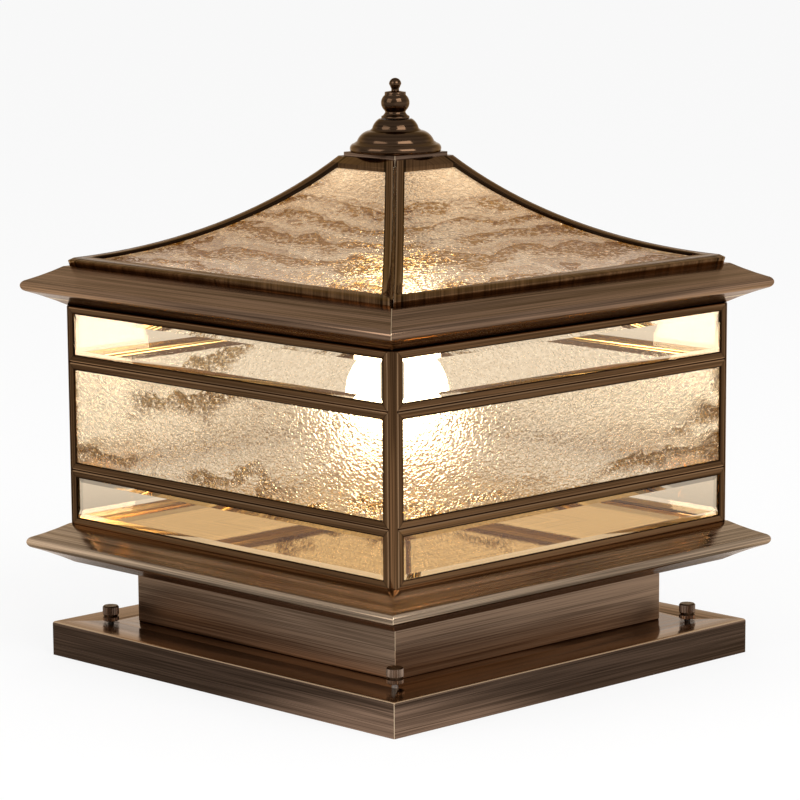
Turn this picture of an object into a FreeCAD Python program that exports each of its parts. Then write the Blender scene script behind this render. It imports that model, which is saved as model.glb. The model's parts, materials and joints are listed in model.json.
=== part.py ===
import FreeCAD, Part
import os
import re
import Sketcher
from FreeCAD import Placement, Rotation, Vector

# Garden pillar lantern: square pan and neck, three tiers of framed glass, and a swept glass roof with a
# turned finial. Millimetres and degrees. The origin is the middle of the underside, +Z is up, and the front
# faces -Y.

document = FreeCAD.newDocument("pillar_lantern")

# Driving dimensions
SIZES = {
    # Base pan, neck and what fixes the lantern to its pillar
    "pan_side": 320.0,
    "pan_height": 22.4,
    "pan_sheet": 1.5,
    "pan_bend_radius": 1.6,
    "pan_corner_radius": 1.0,
    "pan_wire_hole_radius": 40.0,
    "neck_side": 240.0,
    "neck_height": 39.6,
    "neck_sheet": 1.5,
    "neck_flange": 10.0,
    "plate_setback": 10.0,
    "plate_thickness": 2.0,
    "plate_corner_cut": 12.0,
    "anchor_spacing": 200.0,
    "anchor_hole_radius": 4.5,
    "stud_inset": 27.25,
    "stud_radius": 2.0,
    "stud_foot_radius": 3.6,
    "stud_foot_height": 2.5,
    "stud_length": 29.0,
    "stud_hole_clearance": 0.3,
    # Turned thumb nuts on the studs
    "nut_lift": 0.3,
    "front_nut_lift": 2.6,
    "nut_radius": 5.3,
    "nut_groove_radius": 4.4,
    "nut_lower_band": 2.8,
    "nut_groove_height": 0.9,
    "nut_upper_band": 6.3,
    "nut_chamfer": 0.5,
    "nut_cover": 1.4,
    "nut_clearance": 0.05,
    # Cable grommet and terminal block
    "cable_hole_radius": 10.0,
    "grommet_bore_radius": 6.0,
    "grommet_rim_radius": 12.5,
    "grommet_rim_height": 1.8,
    "terminal_length": 42.0,
    "terminal_width": 22.0,
    "terminal_height": 15.0,
    "terminal_step": 6.0,
    "terminal_step_height": 5.0,
    "terminal_hole_radius": 2.4,
    "terminal_pitch": 13.0,
    "terminal_offset": 68.0,
    # Eave moulding, the same below and above the glass body
    "eave_side": 342.2,
    "eave_height": 25.4,
    "eave_sheet": 1.2,
    "eave_flare": 22.0,
    "eave_tip_height": 13.0,
    "eave_nose_radius": 3.75,
    "eave_nose_angle": 18.0,
    "eave_sweep_radius": 120.0,
    "eave_slope_angle": 26.0,
    "lower_ledge_width": 23.2,
    "upper_ledge_width": 11.2,
    "upper_soffit_setback": 15.9,
    "locating_lip_drop": 4.4,
    # Glass body: posts, frames, panes and floor
    "body_setback": 19.9,
    "lower_tier_height": 36.0,
    "middle_tier_height": 70.3,
    "upper_tier_height": 36.1,
    "frame_bar": 4.9,
    "frame_edge_gap": 3.95,
    "frame_thickness": 3.2,
    "frame_lip": 1.4,
    "frame_wall": 1.5,
    "frame_round": 1.3,
    "glass_thickness": 3.0,
    "glass_bevel_width": 6.0,
    "glass_bevel_depth": 1.2,
    "glass_clearance": 0.25,
    "post_chamfer": 3.1,
    "post_clearance": 0.05,
    "floor_thickness": 1.0,
    "floor_clearance": 0.3,
    # Roof: swept frames, bent panes and hip ribs
    "roof_foot_setback": 4.2,
    "roof_edge_setback": 1.7,
    "roof_edge_height": 5.4,
    "roof_edge_round": 1.6,
    "roof_skirt": 2.2,
    "roof_rise": 64.4,
    "roof_head_side": 53.2,
    "roof_sweep_radius": 208.0,
    "roof_frame_thickness": 2.0,
    "hip_groove": 2.2,
    "hip_flange": 5.0,
    "roof_top_bar": 4.2,
    "roof_bottom_bar": 5.3,
    "roof_glass_overlap": 2.4,
    "roof_glass_gap": 0.1,
    "rib_width": 1.9,
    "rib_recess": 0.5,
    "rib_depth": 5.0,
    "rib_foot": 7.0,
    "crown_side": 46.8,
    "crown_plate_thickness": 2.5,
    "crown_skirt_height": 4.0,
    "crown_clearance": 0.2,
    # Spun bell and turned finial on the centre rod
    "rod_radius": 5.0,
    "rod_wall": 1.4,
    "rod_clearance": 0.05,
    "rod_below_crown": 68.5,
    "bell_radius": 29.0,
    "bell_foot_inset": 0.5,
    "bell_rim_height": 5.4,
    "bell_rim_top_radius": 26.6,
    "bell_rim_round": 3.4,
    "bell_dome_radius": 24.6,
    "bell_dome_height": 6.8,
    "bell_dome_top_radius": 16.4,
    "bell_dome_top_height": 13.6,
    "bell_dome_round": 10.5,
    "bell_cap_radius": 14.9,
    "bell_cap_height": 14.8,
    "bell_cap_top_radius": 10.5,
    "bell_cap_round": 10.0,
    "bell_height": 20.9,
    "finial_gap": 0.2,
    "finial_flange_radius": 9.0,
    "finial_flange_height": 1.4,
    "finial_waist_radius": 6.45,
    "finial_waist_height": 4.2,
    "finial_waist_round": 4.2,
    "finial_ring_radius": 7.3,
    "finial_ring_height": 5.4,
    "finial_vase_top_radius": 7.1,
    "finial_vase_top_height": 14.5,
    "finial_vase_round": 6.4,
    "finial_disc_radius": 6.75,
    "finial_disc_base": 14.8,
    "finial_disc_top": 16.7,
    "finial_neck_radius": 2.5,
    "finial_neck_base": 17.4,
    "finial_ball_radius": 3.9,
    "finial_height": 25.6,
    "finial_bore_depth": 8.2,
    "rod_tip_gap": 0.5,
    # Lampholder and bulb, hanging from the roof
    "holder_radius": 21.0,
    "holder_shoulder_radius": 14.0,
    "holder_height": 36.0,
    "holder_shoulder_height": 8.0,
    "holder_rod_depth": 8.0,
    "holder_bore_depth": 25.0,
    "holder_thread_clearance": 0.08,
    "bulb_cap_radius": 13.2,
    "bulb_cap_length": 24.0,
    "bulb_tip_radius": 4.0,
    "bulb_tip_length": 3.0,
    "bulb_cap_chamfer": 2.5,
    "bulb_seat_depth": 5.0,
    "bulb_seat_clearance": 0.1,
    "bulb_radius": 32.0,
    "bulb_neck_radius": 12.4,
    "bulb_length": 112.0,
    "bulb_neck_sweep_radius": 55.0,
    # One overrun for every cut that passes right through
    "cut_overrun": 20.0,
}

# Sizes and heights worked out from the driving ones
WORKED_OUT = {
    "plate_edge": "pan_side/2 - plate_setback",
    "stud_place": "pan_side/2 - stud_inset",
    "neck_top": "pan_height + neck_height",
    "floor_level": "neck_top + eave_height",
    "lower_joint": "floor_level + lower_tier_height",
    "upper_joint": "lower_joint + middle_tier_height",
    "body_top": "upper_joint + upper_tier_height",
    "ledge_level": "body_top + eave_height",
    "roof_edge_level": "ledge_level + roof_edge_height",
    "crown_level": "roof_edge_level + roof_rise",
    "crown_top": "crown_level + crown_plate_thickness",
    "bell_top": "crown_top + bell_height",
    "finial_base": "bell_top + finial_gap",
    "face": "eave_side/2 - body_setback",
    "frame_back": "face - frame_thickness",
    "glass_front": "face - frame_lip",
    "glass_back": "glass_front - glass_thickness",
    "frame_edge": "face - frame_edge_gap",
    "opening_edge": "frame_edge - frame_bar",
    "glass_edge": "frame_edge - frame_wall - glass_clearance",
    "post_glass_face": "glass_back - floor_clearance",
    "post_rebate_edge": "glass_edge + glass_clearance",
    "eave_kink": "eave_side/2 - eave_flare",
    "nose_centre": "eave_side/2 - eave_nose_radius",
    "nose_reach": "eave_nose_radius*sin(eave_nose_angle)",
    "nose_rise": "eave_nose_radius*cos(eave_nose_angle)",
    "inner_nose_reach": "(eave_nose_radius - eave_sheet)*sin(eave_nose_angle)",
    "inner_nose_rise": "(eave_nose_radius - eave_sheet)*cos(eave_nose_angle)",
    "eave_fold_shift": "eave_sheet*tan(eave_slope_angle/2)",
    "roof_foot": "face - roof_foot_setback",
    "roof_edge": "face - roof_edge_setback",
    "roof_head": "roof_head_side/2",
    "roof_chord": "sqrt((roof_foot - roof_head)^2 + roof_rise^2)",
    "roof_chord_distance": "sqrt(roof_sweep_radius^2 - roof_chord^2/4)",
    "sweep_side": "(roof_foot + roof_head)/2 + roof_chord_distance*roof_rise/roof_chord",
    "sweep_level": "roof_edge_level + roof_rise/2 + roof_chord_distance*(roof_foot - roof_head)/roof_chord",
    "hip_groove_plan": "hip_groove/2*sqrt(2)",
    "hip_flange_plan": "(hip_groove/2 + hip_flange)*sqrt(2)",
    "window_head": "roof_head + roof_top_bar",
    "window_foot": "roof_foot - roof_bottom_bar",
    "crown_skirt_level": "crown_level - crown_skirt_height",
    "rod_foot": "crown_level - rod_below_crown",
    "rod_tip": "finial_base + finial_bore_depth - rod_tip_gap",
    "holder_top": "rod_foot + holder_rod_depth",
    "holder_foot": "holder_top - holder_height",
    "bulb_tip": "holder_foot + holder_bore_depth - rod_tip_gap",
    "bulb_cap_top": "bulb_tip - bulb_tip_length",
    "bulb_cap_foot": "bulb_cap_top - bulb_cap_length",
    "bulb_bottom": "bulb_tip - bulb_length",
    "bulb_centre": "bulb_bottom + bulb_radius",
}

SIDES = ("front", "right", "back", "left")
CORNERS = ("front_right", "back_right", "back_left", "front_left")
FULL_TURN = 360.0
QUARTER_TURN = FULL_TURN/len(SIDES)

sheet = document.addObject("Spreadsheet::Sheet", "Dimensions")
for row, (alias, size) in enumerate(SIZES.items(), start=1):
    sheet.set(f"A{row}", alias)
    sheet.set(f"B{row}", str(size))
    sheet.setAlias(f"B{row}", alias)
document.recompute()

WORD = re.compile(r"[a-z_]+[a-z0-9_]*")


def expand(expression):
    """The expression in driving dimensions alone."""
    def replace(match):
        name = match.group()
        return f"({expand(WORKED_OUT[name])})" if name in WORKED_OUT else name
    return WORD.sub(replace, expression)


def value(expression):
    """What an expression comes to now."""
    return float(sheet.evalExpression(expand(expression)))


def tied(expression):
    """The expression as a property of another object takes it, tied to the sheet's cells."""
    def replace(match):
        name = match.group()
        return f"Dimensions.{name}" if name in SIZES else name
    return WORD.sub(replace, expand(expression))


pieces = []


def new_body(label, quarter_turns=0):
    """A body for one rigid piece, turned about the lantern's axis."""
    body = document.addObject("PartDesign::Body", label)
    body.Label = label
    body.Placement = Placement(Vector(), Rotation(Vector(0, 0, 1), QUARTER_TURN*quarter_turns))
    pieces.append(body)
    return body


def new_sketch(body, name, role, offset=None):
    """A sketch on one of the body's origin planes, or that far along the plane's normal."""
    sketch = body.newObject("Sketcher::SketchObject", name)
    plane = next(feature for feature in body.Origin.OriginFeatures if feature.Role == role)
    sketch.AttachmentSupport = (plane, [""])
    sketch.MapMode = "FlatFace"
    if offset is not None:
        sketch.setExpression("AttachmentOffset.Base.z", tied(offset))
    return sketch


def arc_between(start, end, radius):
    """The arc from start to end, bulging to the right of the way there, or left if the radius is negative."""
    chord = end - start
    middle = (start + end)/2
    across = Vector(-chord.y, chord.x, 0).normalize()
    side = 1 if radius > 0 else -1
    centre = middle + across*(side*(radius**2 - (chord.Length/2)**2)**0.5)
    first, last = (start, end) if side > 0 else (end, start)
    rays = (first - centre, last - centre)
    angles = [Vector(1, 0, 0).getAngle(ray)*(1 if ray.y >= 0 else -1) for ray in rays]
    circle = Part.Circle(centre, Vector(0, 0, 1), abs(radius))
    return Part.ArcOfCircle(circle, *angles)


def pin_point(sketch, edge, end, across, up):
    """Ties one end of an edge to its place."""
    for kind, axis, place in (("DistanceX", -2, across), ("DistanceY", -1, up)):
        if place == "0":
            sketch.addConstraint(Sketcher.Constraint("PointOnObject", edge, end, axis))
            continue
        index = sketch.addConstraint(Sketcher.Constraint(kind, -1, 1, edge, end, value(place)))
        sketch.setExpression(f"Constraints[{index}]", tied(place))


def draw_outline(sketch, corners):
    """A closed outline. A corner is its place across and up, and the radius of an arc to the next, if any."""
    places = [Vector(value(corner[0]), value(corner[1]), 0) for corner in corners]
    ends = []
    first = sketch.GeometryCount
    for index, corner in enumerate(corners):
        start, end = places[index], places[(index + 1) % len(places)]
        if len(corner) == 3:
            radius = value(corner[2])
            sketch.addGeometry(arc_between(start, end, radius), False)
            ends.append((1, 2) if radius > 0 else (2, 1))
        else:
            sketch.addGeometry(Part.LineSegment(start, end), False)
            ends.append((1, 2))
    for index, corner in enumerate(corners):
        edge = first + index
        before = first + (index - 1) % len(corners)
        start_end = ends[index][0]
        before_end = ends[(index - 1) % len(corners)][1]
        sketch.addConstraint(Sketcher.Constraint("Coincident", before, before_end, edge, start_end))
        pin_point(sketch, edge, start_end, corner[0], corner[1])
        if len(corner) == 3:
            radius = sketch.addConstraint(Sketcher.Constraint("Radius", edge, abs(value(corner[2]))))
            sketch.setExpression(f"Constraints[{radius}]", tied(f"abs({corner[2]})"))
    return sketch


def draw_circle(sketch, radius, across="0", up="0"):
    """A circle at a place."""
    centre = Vector(value(across), value(up), 0)
    edge = sketch.addGeometry(Part.Circle(centre, Vector(0, 0, 1), value(radius)), False)
    pin_point(sketch, edge, 3, across, up)
    index = sketch.addConstraint(Sketcher.Constraint("Radius", edge, value(radius)))
    sketch.setExpression(f"Constraints[{index}]", tied(radius))
    return sketch


def rectangle(low_across, low_up, high_across, high_up):
    """The corners of an upright rectangle."""
    return [(low_across, low_up), (high_across, low_up), (high_across, high_up), (low_across, high_up)]


def square(half):
    """The corners of a square about the axis."""
    return rectangle(f"-({half})", f"-({half})", half, half)


def pad(body, sketch, length, symmetric=False):
    """Pads a sketch along its normal, or evenly both ways."""
    feature = body.newObject("PartDesign::Pad", "Pad")
    feature.Profile = sketch
    feature.SideType = "Symmetric" if symmetric else "One side"
    feature.setExpression("Length", tied(length))
    return feature


def cut(body, sketch, depth=None, reverse=False):
    """Pockets a sketch right through, or to a depth against its normal, or along its normal if reversed."""
    feature = body.newObject("PartDesign::Pocket", "Pocket")
    feature.Profile = sketch
    feature.Reversed = reverse
    if depth is None:
        feature.SideType = "Symmetric"
        feature.Type = "ThroughAll"
    else:
        feature.setExpression("Length", tied(depth))
    return feature


def sweep(body, profile, path, name="Sweep"):
    """Sweeps a profile round a closed four-sided path with mitred corners."""
    feature = body.newObject("PartDesign::AdditivePipe", name)
    feature.Profile = profile
    feature.Spine = (path, ["Edge1", "Edge2", "Edge3", "Edge4"])
    feature.Transition = "Right corner"
    return feature


def revolve(body, sketch):
    """Turns a half outline about the vertical axis of its sketch."""
    feature = body.newObject("PartDesign::Revolution", "Turned")
    feature.Profile = sketch
    feature.ReferenceAxis = (sketch, ["V_Axis"])
    feature.Angle = FULL_TURN
    return feature


def turned_piece(label, outline, at=None):
    """A body of revolution about the lantern's axis, or about a place away from it."""
    body = new_body(label)
    revolve(body, draw_outline(new_sketch(body, "Section", "XZ_Plane"), outline))
    if at is not None:
        for axis, place in zip("xy", at):
            body.setExpression(f"Placement.Base.{axis}", tied(place))
    return body


def square_ring(label, half, section):
    """A section swept round a square about the axis, as a folded and mitred sheet ring."""
    body = new_body(label)
    path = draw_outline(new_sketch(body, "Path", "XY_Plane"), square(half))
    sweep(body, draw_outline(new_sketch(body, "Section", "XZ_Plane"), section), path)
    return body


# Mounting plate: a flat steel plate with cut corners, anchor holes and the hole for the supply cable
def mounting_plate():
    body = new_body("mounting_plate")
    near, far = "plate_edge - plate_corner_cut", "plate_edge"
    outline = [
        (f"-({near})", f"-{far}"), (near, f"-{far}"), (far, f"-({near})"), (far, near),
        (near, far), (f"-({near})", far), (f"-{far}", near), (f"-{far}", f"-({near})"),
    ]
    pad(body, draw_outline(new_sketch(body, "Plate", "XY_Plane"), outline), "plate_thickness")
    holes = new_sketch(body, "Holes", "XY_Plane")
    draw_circle(holes, "cable_hole_radius")
    for across in ("anchor_spacing/2", "-anchor_spacing/2"):
        for up in ("anchor_spacing/2", "-anchor_spacing/2"):
            draw_circle(holes, "anchor_hole_radius", across, up)
    cut(body, holes)


# Welded studs: four alike, each a shank on a wider foot
def mounting_studs():
    cylinders = []
    for across in ("stud_place", "-(stud_place)"):
        for up in ("stud_place", "-(stud_place)"):
            for radius, height in (("stud_radius", "stud_length"), ("stud_foot_radius", "stud_foot_height")):
                cylinder = document.addObject("Part::Cylinder", "StudRound")
                cylinder.setExpression("Radius", tied(radius))
                cylinder.setExpression("Height", tied(height))
                cylinder.setExpression("Placement.Base.x", tied(across))
                cylinder.setExpression("Placement.Base.y", tied(up))
                cylinder.setExpression("Placement.Base.z", tied("plate_thickness"))
                cylinders.append(cylinder)
    studs = document.addObject("Part::MultiFuse", "mounting_studs")
    studs.Shapes = cylinders
    studs.Label = "mounting_studs"
    pieces.append(studs)


# Rubber grommet: a bush through the plate's cable hole with a rim on top
def cable_grommet():
    turned_piece("cable_grommet", [
        ("grommet_bore_radius", "0"),
        ("cable_hole_radius", "0"),
        ("cable_hole_radius", "plate_thickness"),
        ("grommet_rim_radius", "plate_thickness"),
        ("grommet_rim_radius", "plate_thickness + grommet_rim_height/2", "grommet_rim_height/2"),
        ("grommet_rim_radius - grommet_rim_height/2", "plate_thickness + grommet_rim_height"),
        ("grommet_bore_radius", "plate_thickness + grommet_rim_height"),
    ])


# Terminal block: three poles in a stepped moulding that stands on the plate
def terminal_block():
    body = new_body("terminal_block")
    near = "terminal_offset - terminal_width/2"
    far = "terminal_offset + terminal_width/2"
    base = "plate_thickness"
    step = "plate_thickness + terminal_step_height"
    top = "plate_thickness + terminal_height"
    section = [
        (near, base), (far, base), (far, step), (f"{far} - terminal_step", step),
        (f"{far} - terminal_step", top), (f"{near} + terminal_step", top),
        (f"{near} + terminal_step", step), (near, step),
    ]
    section_sketch = draw_outline(new_sketch(body, "Section", "YZ_Plane"), section)
    pad(body, section_sketch, "terminal_length", symmetric=True)
    holes = new_sketch(body, "WireHoles", "XZ_Plane")
    for across in ("-terminal_pitch", "0", "terminal_pitch"):
        draw_circle(holes, "terminal_hole_radius", across, f"({step} + {top})/2")
    cut(body, holes)


# Base pan: a folded sheet pan, open underneath, with holes for the studs and the wires
def base_pan():
    body = new_body("base_pan")
    outside = draw_outline(new_sketch(body, "Outside", "XY_Plane"), square("pan_side/2"))
    block = pad(body, outside, "pan_height")
    document.recompute()
    upright = [
        f"Edge{index}" for index, edge in enumerate(block.Shape.Edges, start=1)
        if edge.BoundBox.ZLength > value("pan_height/2")
    ]
    corners = body.newObject("PartDesign::Fillet", "Corners")
    corners.Base = (block, upright)
    corners.setExpression("Radius", tied("pan_corner_radius"))
    document.recompute()
    top_face = [
        f"Face{index}" for index, face in enumerate(corners.Shape.Faces, start=1)
        if face.BoundBox.ZMin > value("pan_height/2")
    ]
    bend = body.newObject("PartDesign::Fillet", "Bend")
    bend.Base = (corners, top_face)
    bend.setExpression("Radius", tied("pan_bend_radius"))
    inside = draw_outline(new_sketch(body, "Inside", "XY_Plane"), square("pan_side/2 - pan_sheet"))
    cut(body, inside, "pan_height - pan_sheet", reverse=True)
    holes = new_sketch(body, "Holes", "XY_Plane")
    draw_circle(holes, "pan_wire_hole_radius")
    for across in ("stud_place", "-(stud_place)"):
        for up in ("stud_place", "-(stud_place)"):
            draw_circle(holes, "stud_radius + stud_hole_clearance", across, up)
    cut(body, holes)


# Thumb nut: two turned bands with a groove between them and a blind bore on the stud
def thumb_nut(number, across, up, lift):
    base = f"pan_height + {lift}"
    groove = f"{base} + nut_lower_band"
    upper = f"{groove} + nut_groove_height"
    top = f"{upper} + nut_upper_band"
    bore = "stud_radius + nut_clearance"
    turned_piece(f"thumb_nut_{number}", [
        (bore, base),
        ("nut_radius - nut_chamfer", base),
        ("nut_radius", f"{base} + nut_chamfer"),
        ("nut_radius", groove),
        ("nut_groove_radius", groove),
        ("nut_groove_radius", upper),
        ("nut_radius", upper),
        ("nut_radius", f"{top} - nut_chamfer", "nut_chamfer"),
        ("nut_radius - nut_chamfer", top),
        ("0", top),
        ("0", f"{top} - nut_cover"),
        (bore, f"{top} - nut_cover"),
    ], at=(across, up))


# Neck: a square sheet tube with its edges turned inward to meet the pan and the eave
def neck_box():
    outer = "neck_side/2"
    inner = "neck_side/2 - neck_sheet"
    lip = "neck_side/2 - neck_flange"
    square_ring("neck_box", "neck_side/2", [
        (lip, "pan_height"), (outer, "pan_height"), (outer, "neck_top"), (lip, "neck_top"),
        (lip, "neck_top - neck_sheet"), (inner, "neck_top - neck_sheet"),
        (inner, "pan_height + neck_sheet"), (lip, "pan_height + neck_sheet"),
    ])


# Eave: sheet moulding with a hollow sweep under and over a round nose, folded inward to a soffit and a ledge
def eave(label, base, soffit_end, ledge_end, lip_drop=None):
    tip = f"{base} + eave_tip_height"
    top = f"{base} + eave_height"
    section = [
        ("eave_kink", base, "-eave_sweep_radius"),
        ("nose_centre + nose_reach", f"{tip} - nose_rise", "eave_nose_radius"),
        ("nose_centre + nose_reach", f"{tip} + nose_rise", "-eave_sweep_radius"),
        ("face", top),
        (ledge_end, top),
        (ledge_end, f"{top} - eave_sheet"),
        ("face - eave_fold_shift", f"{top} - eave_sheet", "eave_sweep_radius + eave_sheet"),
        ("nose_centre + inner_nose_reach", f"{tip} + inner_nose_rise", "-(eave_nose_radius - eave_sheet)"),
        ("nose_centre + inner_nose_reach", f"{tip} - inner_nose_rise", "eave_sweep_radius + eave_sheet"),
        ("eave_kink - eave_fold_shift", f"{base} + eave_sheet"),
    ]
    if lip_drop is None:
        section += [(soffit_end, f"{base} + eave_sheet"), (soffit_end, base)]
    else:
        section += [
            (f"{soffit_end} - eave_sheet", f"{base} + eave_sheet"),
            (f"{soffit_end} - eave_sheet", f"{base} - {lip_drop}"),
            (soffit_end, f"{base} - {lip_drop}"),
            (soffit_end, base),
        ]
    square_ring(label, "face", section)


# Floor: a polished sheet on the lower ledge, its corners cut to clear the posts
def floor_plate():
    body = new_body("floor_plate")
    far = "glass_back - floor_clearance"
    near = "post_rebate_edge - floor_clearance*sqrt(2)"
    outline = [
        (far, f"-({near})"), (far, near), (near, far), (f"-({near})", far),
        (f"-({far})", near), (f"-({far})", f"-({near})"), (f"-({near})", f"-({far})"), (near, f"-({far})"),
    ]
    sheet_sketch = draw_outline(new_sketch(body, "Outline", "XY_Plane", "floor_level"), outline)
    pad(body, sheet_sketch, "floor_thickness")


# Corner post: a bar with a chamfered nose between two frames, rebated for them and for the edges of the glass
def corner_post(label, quarter_turns):
    body = new_body(label, quarter_turns)
    edge = "frame_edge + post_clearance"
    quarter_shape = [
        ("post_glass_face", "post_rebate_edge"),
        ("frame_back", "post_rebate_edge"),
        ("frame_back", edge),
        ("face", edge),
        ("face", "face - post_chamfer"),
        ("face - post_chamfer", "face"),
        (edge, "face"),
        (edge, "frame_back"),
        ("post_rebate_edge", "frame_back"),
        ("post_rebate_edge", "post_glass_face"),
    ]
    outline = [(across, f"-({up})") for across, up in quarter_shape]
    shape = draw_outline(new_sketch(body, "Section", "XY_Plane", "floor_level"), outline)
    pad(body, shape, "body_top - (floor_level)")


# Side frame: a mitred ring with a lip over the glass, its outer edges rounded to leave grooves between frames
def side_frame(label, quarter_turns, bottom, top):
    body = new_body(label, quarter_turns)
    sight = f"{bottom} + frame_bar"
    wall = f"{bottom} + frame_wall"
    opening = rectangle("-(opening_edge)", sight, "opening_edge", f"{top} - frame_bar")
    path = draw_outline(new_sketch(body, "Path", "XZ_Plane", "face"), opening)
    bar = [
        ("-(face)", sight),
        ("-(face)", f"{bottom} + frame_round", "frame_round"),
        ("-(face - frame_round)", bottom),
        ("-(frame_back)", bottom),
        ("-(frame_back)", wall),
        ("-(glass_front)", wall),
        ("-(glass_front)", sight),
    ]
    sweep(body, draw_outline(new_sketch(body, "Section", "YZ_Plane"), bar), path)


# Side pane: flat glass behind the frame's lip, with a wide bevel round its face where it is clear
def side_pane(label, quarter_turns, bottom, top, bevelled):
    body = new_body(label, quarter_turns)
    low = f"{bottom} + frame_wall + glass_clearance"
    high = f"{top} - frame_wall - glass_clearance"
    back = new_sketch(body, "Back", "XZ_Plane", "glass_back")
    draw_outline(back, rectangle("-(glass_edge)", low, "glass_edge", high))
    if not bevelled:
        pad(body, back, "glass_thickness")
        return
    pad(body, back, "glass_thickness - glass_bevel_depth")
    bevel = body.newObject("PartDesign::AdditiveLoft", "Bevel")
    rim = new_sketch(body, "Rim", "XZ_Plane", "glass_front - glass_bevel_depth")
    draw_outline(rim, rectangle("-(glass_edge)", low, "glass_edge", high))
    edge = "glass_edge - glass_bevel_width"
    face = new_sketch(body, "Face", "XZ_Plane", "glass_front")
    low_edge, high_edge = f"{low} + glass_bevel_width", f"{high} - glass_bevel_width"
    draw_outline(face, rectangle(f"-({edge})", low_edge, edge, high_edge))
    bevel.Profile = rim
    bevel.Sections = [face]
    bevel.Ruled = True


def roof_level(side, inset):
    """Height of the roof's sweep at a distance from the axis, that far under its outer face."""
    return f"(sweep_level - sqrt((roof_sweep_radius + {inset})^2 - (sweep_side - ({side}))^2))"


def roof_side(level, inset):
    """Distance of the roof's sweep from the axis at a height, that far under its outer face."""
    return f"(sweep_side - sqrt((roof_sweep_radius + {inset})^2 - (sweep_level - ({level}))^2))"


def mirrored_across(corners):
    """An outline on the other side of the upright axis, where an arc bulges the other way."""
    return [(f"-({corner[0]})", corner[1], *(f"-({radius})" for radius in corner[2:])) for corner in corners]


# Roof frame: a thin swept skin with a turned-down skirt, cut along the hips and opened for its pane
def roof_frame(label, quarter_turns):
    body = new_body(label, quarter_turns)
    skin = "roof_frame_thickness"
    skirt_inner = "roof_edge - roof_edge_round/2 - roof_skirt"
    section = [
        (roof_side("crown_level", "0"), "crown_level", "roof_sweep_radius"),
        ("roof_foot", "roof_edge_level"),
        ("roof_edge", "roof_edge_level - roof_edge_round"),
        ("roof_edge - roof_edge_round/2", "ledge_level"),
        (skirt_inner, "ledge_level"),
        (skirt_inner, roof_level(skirt_inner, skin), f"-(roof_sweep_radius + {skin})"),
        (roof_side("crown_level", skin), "crown_level"),
    ]
    profile = draw_outline(new_sketch(body, "Section", "YZ_Plane"), mirrored_across(section))
    pad(body, profile, "2*face", symmetric=True)
    reach = "face + cut_overrun"
    near, far = "roof_head/2", "face"
    hips = new_sketch(body, "Hips", "XY_Plane")
    draw_outline(hips, rectangle(f"-({reach})", f"-({reach})", reach, "0"))
    draw_outline(hips, [
        (f"-({near} - hip_groove_plan)", f"-({near})"), (f"-({far} - hip_groove_plan)", f"-({far})"),
        (f"{far} - hip_groove_plan", f"-({far})"), (f"{near} - hip_groove_plan", f"-({near})"),
    ])
    cut(body, hips)
    window = new_sketch(body, "Window", "XY_Plane")
    draw_outline(window, [
        ("-(window_head - hip_flange_plan)", "-(window_head)"),
        ("-(window_foot - hip_flange_plan)", "-(window_foot)"),
        ("window_foot - hip_flange_plan", "-(window_foot)"),
        ("window_head - hip_flange_plan", "-(window_head)"),
    ])
    cut(body, window)


# Roof pane: glass bent to the same sweep, lying under its frame
def roof_pane(label, quarter_turns):
    body = new_body(label, quarter_turns)
    over = "roof_frame_thickness + roof_glass_gap"
    under = f"{over} + glass_thickness"
    head, foot = "window_head - roof_glass_overlap", "window_foot + roof_glass_overlap"
    section = [
        (head, roof_level(head, over), f"roof_sweep_radius + {over}"),
        (foot, roof_level(foot, over)),
        (foot, roof_level(foot, under), f"-(roof_sweep_radius + {under})"),
        (head, roof_level(head, under)),
    ]
    profile = draw_outline(new_sketch(body, "Section", "YZ_Plane"), mirrored_across(section))
    pad(body, profile, "2*face", symmetric=True)
    reach = "face + cut_overrun"
    near, far = "roof_head/2", "face"
    inset = "(hip_flange_plan - roof_glass_overlap)"
    sides = new_sketch(body, "Sides", "XY_Plane")
    draw_outline(sides, rectangle(f"-({reach})", f"-({reach})", reach, "0"))
    draw_outline(sides, [
        (f"-({near} - {inset})", f"-({near})"), (f"-({far} - {inset})", f"-({far})"),
        (f"{far} - {inset}", f"-({far})"), (f"{near} - {inset}", f"-({near})"),
    ])
    cut(body, sides)


# Hip rib: a thin bar between two roof frames, its top mitred to both sweeps
def hip_rib(label, quarter_turns):
    body = new_body(label, quarter_turns)
    top = "crown_skirt_level - crown_clearance"
    heel = "roof_foot - rib_foot"
    section = [
        (roof_side(top, "rib_recess"), top, "roof_sweep_radius + rib_recess"),
        ("roof_foot", roof_level("roof_foot", "rib_recess")),
        ("roof_foot", "ledge_level"),
        (heel, "ledge_level"),
        (heel, roof_level(heel, "rib_depth"), "-(roof_sweep_radius + rib_depth)"),
        (roof_side(top, "rib_depth"), top),
    ]
    pad(body, draw_outline(new_sketch(body, "Section", "XZ_Plane"), section), "face")
    half = "rib_width/2*sqrt(2)"
    reach = "face + cut_overrun"
    around = rectangle("-cut_overrun", f"-2*({reach})", reach, "cut_overrun")
    strip = draw_outline(new_sketch(body, "Strip", "XY_Plane"), around)
    draw_outline(strip, [
        (half, "0"), ("0", f"-({half})"), ("face", f"-(face + {half})"), ("face", f"-(face - {half})"),
    ])
    cut(body, strip)
    over = [
        (roof_side(top, "rib_recess"), top, "roof_sweep_radius + rib_recess"),
        ("roof_foot", roof_level("roof_foot", "rib_recess")),
        ("roof_foot", "ledge_level - cut_overrun"),
        (reach, "ledge_level - cut_overrun"),
        (reach, f"{top} + cut_overrun"),
        (roof_side(top, "rib_recess"), f"{top} + cut_overrun"),
    ]
    cut(body, draw_outline(new_sketch(body, "Over", "YZ_Plane"), mirrored_across(over)))


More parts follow.
